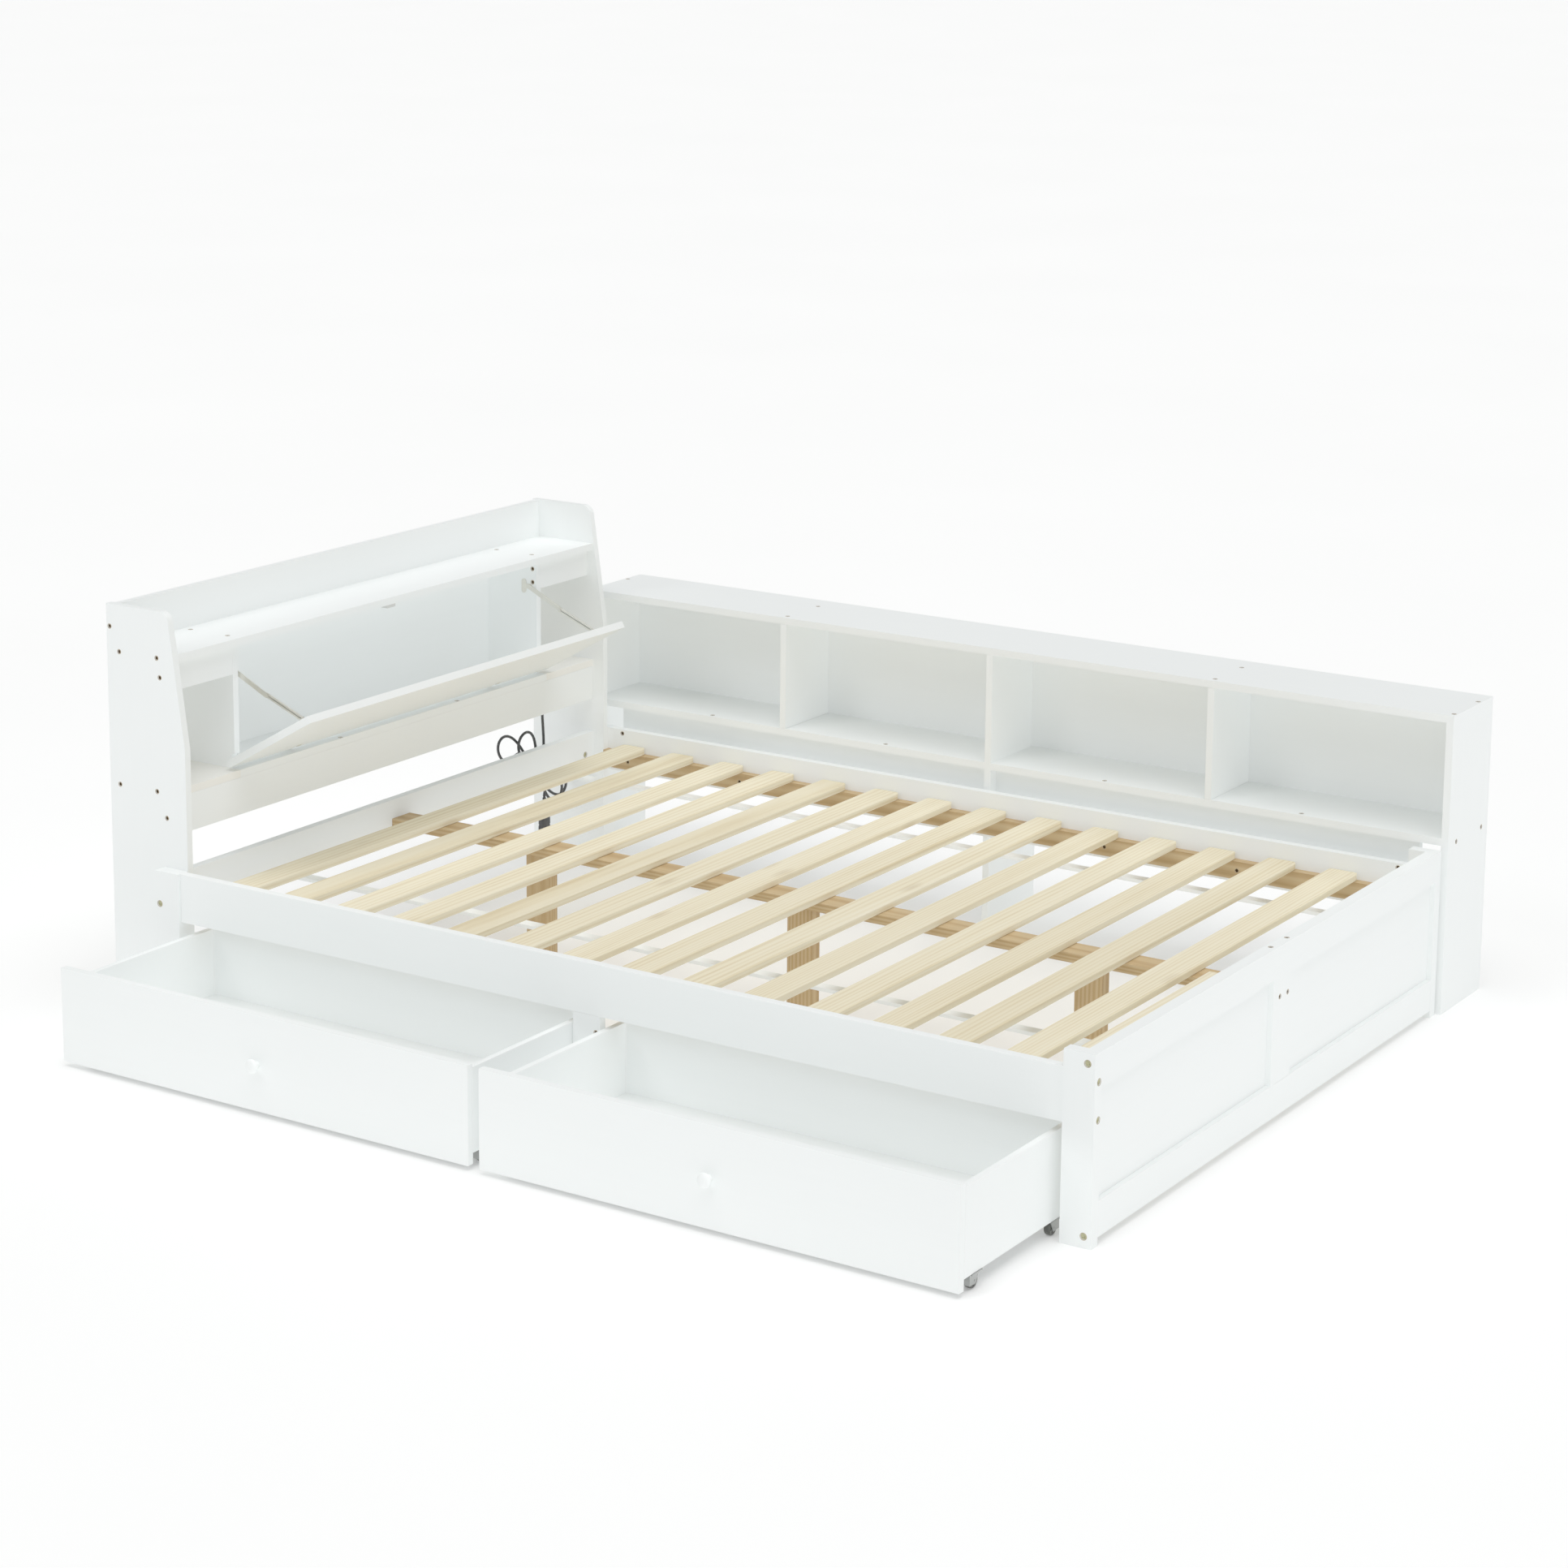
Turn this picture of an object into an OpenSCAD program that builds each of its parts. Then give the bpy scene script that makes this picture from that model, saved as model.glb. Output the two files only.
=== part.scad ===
// Platform bed with two rolling drawers, a headboard compartment with a
// drop-down flap, and a long low bookcase along one side.
// X runs from the headboard to the footboard, Y from the drawer side to the bookcase, Z up.
// The origin is under the middle of the bed as it stands with its drawers out and its flap open.

/* [Boards] */
// Thickness of the painted boards
board_t = 15; // [14:0.5:16]
// Thickness of the painted bed rails
rail_t = 18; // [16:1:20]
// Height of the painted bed rails
rail_h = 97; // [90:1:100]
// Thickness of the drawer sides and backs
wall_t = 12; // [10:0.5:13]

/* [Bed] */
// Back of the headboard to the outside of the footboard
bed_l = 2200; // [2150:10:2300]
// Outer face of the near posts to the outer face of the far posts
bed_w = 1446; // [1440:2:1500]
// Height of the underside of the side rails
rail_z = 208; // [202:1:215]
// Width of the posts along the bed
post_w = 59; // [54:1:62]
// Thickness of the head posts across the bed
head_post_t = 28; // [26:1:30]
// Thickness of the foot posts across the bed
foot_post_t = 24; // [24:1:28]
// Height of the footboard
foot_h = 338; // [330:1:345]
// Thickness of the footboard's frame
foot_t = 24; // [22:1:26]

/* [Headboard] */
// Overall height of the headboard
head_h = 814; // [800:1:830]
// Depth of the headboard's side panels near the floor
head_d = 197; // [190:1:205]
// Height of the underside of the top shelf
top_shelf_z = 715; // [708:1:720]
// Height of the underside of the lower shelf
low_shelf_z = 448; // [442:1:450]
// Width of the open niche at each end of the headboard
niche_w = 175; // [165:1:185]

/* [Flap] */
// Height of the flap panel
flap_h = 243; // [236:1:244]
// How far the flap passes each divider
flap_lap = 20; // [12:1:24]
// Angle of the open flap from closed
flap_open = 60; // [50:1:65]
// Length of each stay arm between pivots
stay_l = 96.1; // [96.1:0.1:98]

/* [Slats] */
// Number of slats
slat_n = 14; // [12:1:14]
// Width of a slat
slat_w = 63; // [58:1:66]
// Thickness of a slat
slat_t = 15; // [13:0.5:16]
// Height of the top of the slats
slat_z = 272; // [268:1:275]

/* [Bookcase] */
// Height of the bookcase
case_h = 611; // [600:1:625]
// Depth of the bookcase
case_d = 203; // [195:1:215]
// Height of the underside of the bookcase shelf
case_shelf_z = 346; // [340:1:352]

/* [Drawers] */
// Width of a drawer front
front_w = 963; // [955:1:966]
// Height of a drawer front
front_h = 184; // [176:1:188]
// Depth of a drawer box behind its front
box_d = 355; // [340:1:360]
// Height of a drawer box's walls
wall_h = 157; // [150:1:158]
// How far the drawers stand out
drawer_out = 283; // [250:1:300]
// Radius of a caster wheel
wheel_r = 14; // [12:0.5:14]

/* [Hidden] */
$fn = 48;

white = [0.93, 0.94, 0.93];
pine = [0.86, 0.74, 0.55];
amber_pine = [0.80, 0.62, 0.38];
steel = [0.75, 0.76, 0.77];
dark_steel = [0.30, 0.27, 0.22];
black = [0.05, 0.05, 0.05];

// places along the bed
post_x = head_d - post_w;           // near side of the head posts
foot_x = bed_l - post_w;            // near side of the foot posts
foot_in = bed_l - foot_t;           // inner face of the footboard
head_in = 171;                      // front face of the head rail
case_x0 = 121;                      // outer face of the bookcase's head end
case_x1 = bed_l + 11;               // outer face of the bookcase's foot end

// places across the bed
mid_y = bed_w / 2;
side_y = head_post_t + board_t;     // inner face of the near headboard panel
rail_y = foot_post_t;               // inner face of the near rail
case_gap = 6;
case_y = bed_w + case_gap;          // front of the bookcase
div_y = side_y + niche_w;           // niche face of the near divider
cubby_y = div_y + board_t;          // compartment face of the near divider

// headboard depths
panel_x = 18;                       // front face of the headboard's back panel
shelf_x = 168;                      // front edges of the shelves
div_x = 153;                        // front edges of the dividers
shelf_top = low_shelf_z + board_t;

// flap, drawn closed and then turned open about its hinge axis
flap_gap = 0.5;
flap_x = div_x + flap_gap;
flap_z = shelf_top + 3;
flap_y0 = cubby_y - board_t - flap_lap;
hinge_x = flap_x + 11.5;
hinge_z = flap_z + 12;
hinge_ys = [mid_y - 329, mid_y + 329];
hinge_notch = 17;
hinge_pin_r = 2;

// stays: pivot on the divider, pivot on the flap when it is closed
stay_u = [135, 660];
stay_l_closed = [147, 657];
pivot_r = 2;
pivot_play = 0.05;
arm_w = 10;
arm_t = 2;
arm_gap = 0.6;
bracket_t = 2;
arm_y = bracket_t + 1;              // divider face to the upper arm

// slats, their supports and the strips
slat_x0 = 240;
slat_pitch = 133.4;
slat_low = slat_z - slat_t;
ledger_t = 20;
ledger_h = 38;
beam_w = 60;
beam_t = 20;
leg_w = 58;
leg_t = 28;
leg_xs = [541, 1180, 1818];
strip_ys = [393, 1347];
strip_w = 25;
strip_t = 8;
mid_post_x = 1139;
cleat_l = 483;                      // length of the cleat inside the footboard

// bookcase
case_in = case_y + 25;              // front of the aprons under the shelf
apron_h = 62;
back_t = 5;
back_inset = 25;                    // back of the bookcase to the near face of its back panels
case_mid_x = 1160;
case_div_xs = [640, 1678];

// drawers
drawer_xs = [173, 1160];
front_t = board_t;
front_z = 10;
overhang = 45;
box_z = 30;
bottom_z = 50;
bottom_t = 4;
knob_r = 13.5;
knob_l = 21;
caster_in = 11;                     // box side to the middle of a wheel
caster_ys = [40, 305];              // back of the front to the wheel centres
wheel_w = 12;
axle_r = 2;
front_y = -drawer_out - front_t;

// cord and plug
cord_d = 6.5;
cord_x = 110;
cord_y = 1285;
gland_l = 30;
cord_route = [[110, 1285, 418], [110, 1285, 400], [111, 1286, 370], [112, 1288, 330],
    [111, 1292, 292], [108, 1295, 262], [103, 1294, 244], [100, 1286, 231]];
hank_y = 1262;                      // the tie that holds the hank
hank_z = 225;
hank_r = 32;                        // radius of the hank's round ends
hank_t = 32;
hank_lobes = [[143, 153], [116, 106], [-28, 140], [-40, 118]];  // angle and reach from the tie
plug_x = 120;
plug_y = 1282;
plug_z = 80;

// where the whole bed is measured from
x_mid = case_x1 / 2;
y_mid = (case_y + case_d + front_y - knob_l) / 2;

// screw and bolt places, as points on each board's face
side_screws = [[8, 769], [31.5, 721], [129, 721], [136, 683], [25, 454], [122, 454], [146, 404]];
screw_d = 8;
screw_deep = 2.5;
bolt_d = 12;
bolt_deep = 3;

module placed() {
    translate([-x_mid, -y_mid, 0]) children();
}

// a box from one corner to the opposite one
module block(low, high) {
    translate(low) cube(high - low);
}

// the same shape again on the far side of the bed
module both_sides() {
    children();
    translate([0, bed_w, 0]) mirror([0, 1, 0]) children();
}

// the turn that points +Z along a face's outward normal
function facing(n) = n[0] != 0 ? [0, 90 * n[0], 0] : n[1] != 0 ? [-90 * n[1], 0, 0] : [0, 0, 0];

module on_face(points, n) {
    for (p = points) translate(p) rotate(facing(n)) children();
}

module recesses(points, n, d, deep) {
    on_face(points, n) translate([0, 0, -deep]) cylinder(d = d, h = deep + 1);
}

// a countersunk head with a hex socket, at the bottom of its recess
module screw_heads(points, n, d, deep) {
    head_d = d - 0.6;
    on_face(points, n) translate([0, 0, -deep]) difference() {
        cylinder(d = head_d, h = deep * 0.6);
        translate([0, 0, deep * 0.25]) cylinder(d = head_d * 0.5, h = deep, $fn = 6);
    }
}

// ---- headboard ----
side_points = [for (s = side_screws) [s[0], head_post_t, s[1]]];
corner_r = 22;

module side_outline() {
    difference() {
        polygon([[0, 0], [head_d, 0], [head_d, 547], [158, head_h], [0, head_h]]);
        // round the top front corner
        translate([corner_cx, corner_cz]) difference() {
            square([60, 60]);
            circle(r = corner_r);
            polygon([[0, 0], [60 * cos(lean), 60 * sin(lean)], [60, 0]]);
        }
    }
}
// the slanted front edge leans back by this angle; the rounding touches it and the top
lean = atan((head_d - 158) / (head_h - 547));
corner_cz = head_h - corner_r;
corner_cx = 158 + corner_r * tan(lean) - corner_r / cos(lean);

module headboard_side() {
    color(white) difference() {
        translate([0, side_y, 0]) rotate([90, 0, 0]) linear_extrude(board_t) side_outline();
        recesses(side_points, [0, -1, 0], screw_d, screw_deep);
    }
}

module headboard_side_left() {
    placed() headboard_side();
}

module headboard_side_right() {
    placed() translate([0, bed_w, 0]) mirror([0, 1, 0]) headboard_side();
}

module headboard_back_panel() {
    color(white) placed()
        block([panel_x - board_t, side_y, low_shelf_z], [panel_x, bed_w - side_y, head_h - 2]);
}

top_shelf_points = [for (x = [37, 134.5], y = [div_y + board_t / 2, bed_w - div_y - board_t / 2])
    [x, y, top_shelf_z + board_t]];

module headboard_top_shelf() {
    color(white) placed() difference() {
        block([panel_x, side_y, top_shelf_z], [shelf_x, bed_w - side_y, top_shelf_z + board_t]);
        recesses(top_shelf_points, [0, 0, 1], screw_d, screw_deep);
    }
}

low_shelf_points = [for (y = [mid_y - 193, mid_y + 193]) [162, y, shelf_top]];

module headboard_lower_shelf() {
    color(white) placed() difference() {
        block([panel_x, side_y, low_shelf_z], [shelf_x, bed_w - side_y, shelf_top]);
        recesses(low_shelf_points, [0, 0, 1], screw_d, screw_deep);
    }
}

divider_points = [for (z = [700, 670]) [142, cubby_y, z]];

// each divider is cut back at its foot, where the flap's lower edge swings in
module compartment_dividers() {
    relief = [7, 30];
    color(white) placed() both_sides() difference() {
        block([panel_x, div_y, shelf_top], [div_x, cubby_y, top_shelf_z]);
        block([div_x - relief[0], div_y - 1, shelf_top - 1],
            [div_x + 1, cubby_y + 1, shelf_top + relief[1]]);
        recesses(divider_points, [0, 1, 0], screw_d, screw_deep);
    }
}

module compartment_fascias() {
    fascia_h = 60;
    color(white) placed() both_sides()
        block([div_x - board_t, side_y, top_shelf_z - fascia_h], [div_x, div_y, top_shelf_z]);
}

module headboard_apron() {
    apron_low = 372;
    color(white) placed()
        block([div_x, side_y, apron_low], [shelf_x, bed_w - side_y, low_shelf_z]);
}

// ---- bed frame ----
head_rail_z = 200;
head_rail_points = [for (y = [side_y + 34, bed_w - side_y - 34]) [head_in, y, head_rail_z + 48]];

module head_rail() {
    color(white) placed() difference() {
        block([head_in - rail_t, side_y, head_rail_z],
            [head_in, bed_w - side_y, head_rail_z + rail_h]);
        recesses(head_rail_points, [1, 0, 0], bolt_d, bolt_deep);
    }
}

head_post_points = [[148, 0, 239]];

module head_posts() {
    color(white) placed() both_sides() difference() {
        block([post_x, 0, 0], [head_d, head_post_t, rail_z + rail_h]);
        recesses(head_post_points, [0, -1, 0], bolt_d, bolt_deep);
    }
}

module side_rail() {
    block([head_d, rail_y - rail_t, rail_z], [foot_x, rail_y, rail_z + rail_h]);
}

module front_rail() {
    color(white) placed() side_rail();
}

back_rail_points = [for (x = [236, 2120]) [x, bed_w - rail_y, 296]];

module back_rail() {
    color(white) placed() difference() {
        translate([0, bed_w, 0]) mirror([0, 1, 0]) side_rail();
        recesses(back_rail_points, [0, -1, 0], screw_d, screw_deep);
    }
}

foot_front_points = [for (z = [320, 21]) [bed_l - 14, 0, z]];
foot_end_points = [for (z = [287, 221]) [bed_l, 15, z]];

module foot_posts() {
    color(white) placed() difference() {
        both_sides() difference() {
            block([foot_x, 0, 0], [bed_l, foot_post_t, foot_h]);
            recesses(foot_front_points, [0, -1, 0], bolt_d, bolt_deep);
        }
        recesses(foot_end_points, [1, 0, 0], bolt_d, bolt_deep);
    }
}

mid_post_points = [[mid_post_x + post_w - 8, rail_y - rail_t, 177]];

module rail_mid_post() {
    color(white) placed() difference() {
        block([mid_post_x, rail_y - rail_t, 0], [mid_post_x + post_w, rail_y, rail_z]);
        recesses(mid_post_points, [0, -1, 0], screw_d, screw_deep);
    }
}

// ---- footboard ----
foot_top_h = 60;
foot_low = 14;
foot_low_h = 65;
stile_w = 82;
foot_y0 = foot_post_t;
foot_y1 = bed_w - foot_post_t;
foot_panel_t = 10;
foot_panel_x = bed_l - 10;           // the panels' outer faces sit back from the frame
foot_top_points = [for (y = [mid_y - 34, mid_y + 34]) [bed_l - 12, y, foot_h]];
stile_points = [for (y = [mid_y - 13, mid_y + 20]) [bed_l, y, 241.5]];

module footboard_top_rail() {
    color(white) placed() difference() {
        block([foot_in, foot_y0, foot_h - foot_top_h], [bed_l, foot_y1, foot_h]);
        recesses(foot_top_points, [0, 0, 1], screw_d, screw_deep);
    }
}

module footboard_bottom_rail() {
    color(white) placed()
        block([foot_in, foot_y0, foot_low], [bed_l, foot_y1, foot_low + foot_low_h]);
}

module footboard_centre_stile() {
    color(white) placed() difference() {
        block([foot_in, mid_y - stile_w / 2, foot_low + foot_low_h],
            [bed_l, mid_y + stile_w / 2, foot_h - foot_top_h]);
        recesses(stile_points, [1, 0, 0], screw_d, screw_deep);
    }
}

module footboard_panels() {
    color(white) placed() both_sides()
        block([foot_panel_x - foot_panel_t, foot_y0, foot_low + foot_low_h],
            [foot_panel_x, mid_y - stile_w / 2, foot_h - foot_top_h]);
}

module footboard_cleat() {
    color(pine) placed()
        block([foot_in - ledger_t, foot_y0, foot_h - ledger_h - 2],
            [foot_in, foot_y0 + cleat_l, foot_h - 2]);
}

// ---- bookcase ----
case_y1 = case_y + case_d;
case_top_z = case_h - board_t;
case_shelf_top = case_shelf_z + board_t;
end_points = [for (y = [case_y + 41, case_y1 - 33]) [case_x1, y, case_shelf_z + 2]];
case_post_xs = [case_x0 + board_t / 2, case_div_xs[0] + board_t / 2,
    case_div_xs[1] + board_t / 2, case_x1 - board_t / 2];
case_top_points = [for (x = case_post_xs, y = [case_y + 18, case_y1 - 61]) [x, y, case_h]];
case_shelf_points = [for (x = [454, 907, 1442, 1890]) [x, case_y + 12, case_shelf_top]];

module bookcase_end_left() {
    color(white) placed() block([case_x0, case_y, 0], [case_x0 + board_t, case_y1, case_top_z]);
}

module bookcase_end_right() {
    color(white) placed() difference() {
        block([case_x1 - board_t, case_y, 0], [case_x1, case_y1, case_top_z]);
        recesses(end_points, [1, 0, 0], screw_d, screw_deep);
    }
}

module bookcase_middle_panel() {
    color(white) placed()
        block([case_mid_x, case_y, 0], [case_mid_x + board_t, case_y1, case_top_z]);
}

module bookcase_top() {
    color(white) placed() difference() {
        block([case_x0, case_y, case_top_z], [case_x1, case_y1, case_h]);
        recesses(case_top_points, [0, 0, 1], screw_d, screw_deep);
    }
}

// the two stretches between the ends and the middle panel
case_spans = [[case_x0 + board_t, case_mid_x], [case_mid_x + board_t, case_x1 - board_t]];

module bookcase_shelves() {
    color(white) placed() difference() {
        for (s = case_spans)
            block([s[0], case_y, case_shelf_z], [s[1], case_y1 - back_inset, case_shelf_top]);
        recesses(case_shelf_points, [0, 0, 1], screw_d, screw_deep);
    }
}

module bookcase_dividers() {
    color(white) placed() for (x = case_div_xs)
        block([x, case_y, case_shelf_top], [x + board_t, case_y1 - back_inset, case_top_z]);
}

module bookcase_back_panels() {
    color(white) placed() for (s = case_spans)
        block([s[0], case_y1 - back_inset, case_shelf_z],
            [s[1], case_y1 - back_inset + back_t, case_top_z]);
}

// the aprons stop short of the ends, which leaves a notch at each end
module bookcase_aprons() {
    notch = 64;
    spans = [[case_spans[0][0] + notch, case_spans[0][1]],
        [case_spans[1][0], case_spans[1][1] - notch + 9]];
    color(white) placed() for (s = spans)
        block([s[0], case_in, case_shelf_z - apron_h], [s[1], case_in + board_t, case_shelf_z]);
}

// ---- slats and what carries them ----
slat_chamfer = 2;
slat_end_r = 10;

module slat_section() {
    polygon([[slat_chamfer, 0], [slat_w - slat_chamfer, 0], [slat_w, slat_chamfer],
        [slat_w, slat_t - slat_chamfer], [slat_w - slat_chamfer, slat_t],
        [slat_chamfer, slat_t], [0, slat_t - slat_chamfer], [0, slat_chamfer]]);
}

module slat_plan(length) {
    translate([slat_end_r, 0]) square([slat_w - 2 * slat_end_r, length]);
    translate([0, slat_end_r]) square([slat_w, length - 2 * slat_end_r]);
    for (x = [slat_end_r, slat_w - slat_end_r], y = [slat_end_r, length - slat_end_r])
        translate([x, y]) circle(r = slat_end_r);
}

module slats() {
    slat_l = bed_w - 2 * rail_y - 4;
    color(pine) placed() for (i = [0:slat_n - 1])
        translate([slat_x0 + i * slat_pitch, rail_y + 2, slat_low]) intersection() {
            linear_extrude(slat_t) slat_plan(slat_l);
            translate([0, slat_l, 0]) rotate([90, 0, 0]) linear_extrude(slat_l) slat_section();
        }
}

ledger_points = [for (i = [0:6]) [265 + i * 303, rail_y + ledger_t, slat_low - 19]];

module slat_ledgers() {
    color(amber_pine) placed() both_sides() difference() {
        block([head_d, rail_y, slat_low - ledger_h], [foot_x, rail_y + ledger_t, slat_low]);
        recesses(ledger_points, [0, 1, 0], screw_d, screw_deep);
    }
}

beam_y = 681;

module centre_beam() {
    color(amber_pine) placed()
        block([head_in, beam_y, slat_low - beam_t], [foot_in, beam_y + beam_w, slat_low]);
}

module centre_legs() {
    leg_y = beam_y + (beam_w - leg_t) / 2;
    color(amber_pine) placed() for (x = leg_xs)
        block([x - leg_w / 2, leg_y, 0], [x + leg_w / 2, leg_y + leg_t, slat_low - beam_t]);
}

module underbed_strips() {
    color(white) placed() for (y = strip_ys)
        block([head_in - rail_t, y, head_rail_z - strip_t], [foot_in, y + strip_w, head_rail_z]);
}

// ---- flap, its hinges and its stays ----
flap_y1 = bed_w - flap_y0;

// turns what is drawn closed to the open flap's place
module opened() {
    translate([hinge_x, 0, hinge_z]) rotate([0, flap_open, 0])
        translate([-hinge_x, 0, -hinge_z]) children();
}

// a round bar along Y
module bar_y(x, y0, y1, z, r) {
    translate([x, y0, z]) rotate([-90, 0, 0]) cylinder(r = r, h = y1 - y0);
}

// a plate in the X and Z plane, from y0 to y1
module plate_y(y0, y1) {
    translate([0, y1, 0]) rotate([90, 0, 0]) linear_extrude(y1 - y0) children();
}

module flap() {
    notch_h = 21;
    pin_reach = 3.5;
    color(white) placed() opened() difference() {
        block([flap_x, flap_y0, flap_z], [flap_x + board_t, flap_y1, flap_z + flap_h]);
        for (y = hinge_ys) {
            block([flap_x - 1, y - hinge_notch / 2, flap_z - 1],
                [flap_x + board_t + 1, y + hinge_notch / 2, flap_z + notch_h]);
            bar_y(hinge_x, y - hinge_notch / 2 - pin_reach, y + hinge_notch / 2 + pin_reach,
                hinge_z, hinge_pin_r);
        }
    }
}

knuckle_w = 12;
knuckle_r = 4.4;
hinge_play = 0.05;

// foot on the shelf and an arm out to the knuckle in the flap's notch
module flap_hinge_bases() {
    foot_w = 32;
    foot_t2 = 2.5;
    color(steel) placed() for (y = hinge_ys) difference() {
        union() {
            block([82, y - foot_w / 2, shelf_top], [118, y + foot_w / 2, shelf_top + foot_t2]);
            plate_y(y - knuckle_w / 2, y + knuckle_w / 2)
                polygon([[86, shelf_top + foot_t2], [116, shelf_top + foot_t2],
                    [hinge_x - 3, hinge_z - 3.2], [hinge_x - 3, hinge_z + 3.2],
                    [140, hinge_z + 1], [104, shelf_top + 12], [86, shelf_top + 12]]);
            bar_y(hinge_x, y - knuckle_w / 2, y + knuckle_w / 2, hinge_z, knuckle_r);
        }
        bar_y(hinge_x, y - knuckle_w, y + knuckle_w, hinge_z, hinge_pin_r + hinge_play);
    }
}

// two cheeks beside the knuckle, the pin through it and a plate on the flap's inner face
module flap_hinge_cups() {
    cheek_in = knuckle_w / 2 + 0.3;
    cheek_out = hinge_notch / 2;
    plate_t = 2;
    pin_l = hinge_notch + 7;
    color(steel) placed() opened() for (y = hinge_ys) {
        for (side = [-1, 1])
            plate_y(y + min(side * cheek_in, side * cheek_out),
                y + max(side * cheek_in, side * cheek_out))
                polygon([[flap_x - plate_t, hinge_z - 4], [hinge_x + 3, hinge_z - 4],
                    [hinge_x + 3, hinge_z + 7], [flap_x, hinge_z + 9],
                    [flap_x, hinge_z + 12], [flap_x - plate_t, hinge_z + 12]]);
        block([flap_x - plate_t, y - 16, hinge_z + 12], [flap_x, y + 16, hinge_z + 38]);
        bar_y(hinge_x, y - pin_l / 2, y + pin_l / 2, hinge_z, hinge_pin_r);
    }
}

catch_y = 698;
catch_w = 28;

module flap_catch() {
    color(steel) placed()
        block([135, catch_y, top_shelf_z - 12], [div_x - 1, catch_y + catch_w, top_shelf_z]);
}

module flap_strike() {
    strike_t = 1;
    color(steel) placed() opened()
        block([flap_x - strike_t, catch_y + 2, flap_z + flap_h - 14],
            [flap_x, catch_y + catch_w - 2, flap_z + flap_h - 3]);
}

// the stay's pivots when the flap is open, in the X and Z plane
function turned(p, a) = [
    hinge_x + (p[0] - hinge_x) * cos(a) + (p[1] - hinge_z) * sin(a),
    hinge_z - (p[0] - hinge_x) * sin(a) + (p[1] - hinge_z) * cos(a)];
stay_l_open = turned(stay_l_closed, flap_open);
// the middle pivot hangs below the line between the end pivots
function knee(a, b) =
    let (m = (a + b) / 2, d = norm(b - a), h = sqrt(stay_l * stay_l - d * d / 4))
    [m[0] + h * (b[1] - a[1]) / d, m[1] - h * (b[0] - a[0]) / d];
stay_m_open = knee(stay_u, stay_l_open);
stay_y = cubby_y + arm_y;           // near face of the upper arm
lower_y = stay_y + arm_t + arm_gap; // near face of the lower arm

// a flat bar with round ends and two eyes, from pivot a to pivot b
module arm_outline(a, b) {
    angle = atan2(b[1] - a[1], b[0] - a[0]);
    translate(a) rotate(angle) {
        translate([0, -arm_w / 2]) square([norm(b - a), arm_w]);
        circle(d = arm_w);
        translate([norm(b - a), 0]) circle(d = arm_w);
    }
}

// a plate on the divider and a boss where the upper arm ends
bracket_x = stay_u[0] - 16;
bracket_w = 12;
bracket_zs = [stay_u[1] - 10, stay_u[1] + 10];

module stay_brackets() {
    color(steel) placed() both_sides() {
        plate_y(cubby_y, cubby_y + bracket_t) {
            hull() for (z = bracket_zs) translate([bracket_x, z]) circle(d = bracket_w);
            hull() for (x = [bracket_x, stay_u[0]]) translate([x, stay_u[1]]) circle(d = 11);
        }
        bar_y(stay_u[0], cubby_y + bracket_t, cubby_y + bracket_t + 0.4, stay_u[1], 5);
        for (z = bracket_zs)
            bar_y(bracket_x, cubby_y + bracket_t, cubby_y + bracket_t + 0.5, z, 3.2);
    }
}

// the upper arm, its stub towards the bracket and the rivet through the lower arm
module stay_upper_arms() {
    head_t = 1.4;
    color(steel) placed() both_sides() {
        plate_y(stay_y, stay_y + arm_t) arm_outline(stay_u, stay_m_open);
        bar_y(stay_u[0], stay_y - 0.3, stay_y, stay_u[1], 4);
        bar_y(stay_m_open[0], stay_y + arm_t, lower_y + arm_t + 0.3, stay_m_open[1], pivot_r);
        bar_y(stay_m_open[0], lower_y + arm_t + 0.3, lower_y + arm_t + 0.3 + head_t,
            stay_m_open[1], 4);
    }
}

module stay_lower_arms() {
    color(steel) placed() both_sides() difference() {
        plate_y(lower_y, lower_y + arm_t) arm_outline(stay_m_open, stay_l_open);
        for (p = [stay_m_open, stay_l_open])
            bar_y(p[0], lower_y - 1, lower_y + arm_t + 1, p[1], pivot_r + pivot_play);
    }
}

// an angle on the flap's inner face, with the pin that the lower arm turns on
module stay_flap_brackets() {
    ear_y = lower_y + arm_t + 0.5;
    color(steel) placed() both_sides() opened() {
        block([flap_x - bracket_t, ear_y, 640], [flap_x, ear_y + 20, 674]);
        plate_y(ear_y, ear_y + bracket_t)
            translate(stay_l_closed) union() {
                circle(d = 9);
                translate([0, -4.5]) square([flap_x - bracket_t - stay_l_closed[0], 9]);
            }
        bar_y(stay_l_closed[0], lower_y - 0.3, ear_y, stay_l_closed[1], pivot_r);
    }
}

// ---- drawers, drawn out to their resting place ----
function box_x0(x) = x + overhang;
function box_x1(x) = x + front_w;
box_y0 = front_y + front_t;

module drawer_front(x) {
    color(white) placed()
        block([x, front_y, front_z], [x + front_w, box_y0, front_z + front_h]);
}

// two sides and a back, butted
module drawer_walls(x) {
    y1 = box_y0 + box_d;
    color(white) placed() {
        block([box_x0(x), box_y0, box_z], [box_x0(x) + wall_t, y1, box_z + wall_h]);
        block([box_x1(x) - wall_t, box_y0, box_z], [box_x1(x), y1, box_z + wall_h]);
        block([box_x0(x) + wall_t, y1 - wall_t, box_z],
            [box_x1(x) - wall_t, y1, box_z + wall_h]);
    }
}

module drawer_bottom(x) {
    color(white) placed() block([box_x0(x) + wall_t, box_y0, bottom_z],
        [box_x1(x) - wall_t, box_y0 + box_d - wall_t, bottom_z + bottom_t]);
}

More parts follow.
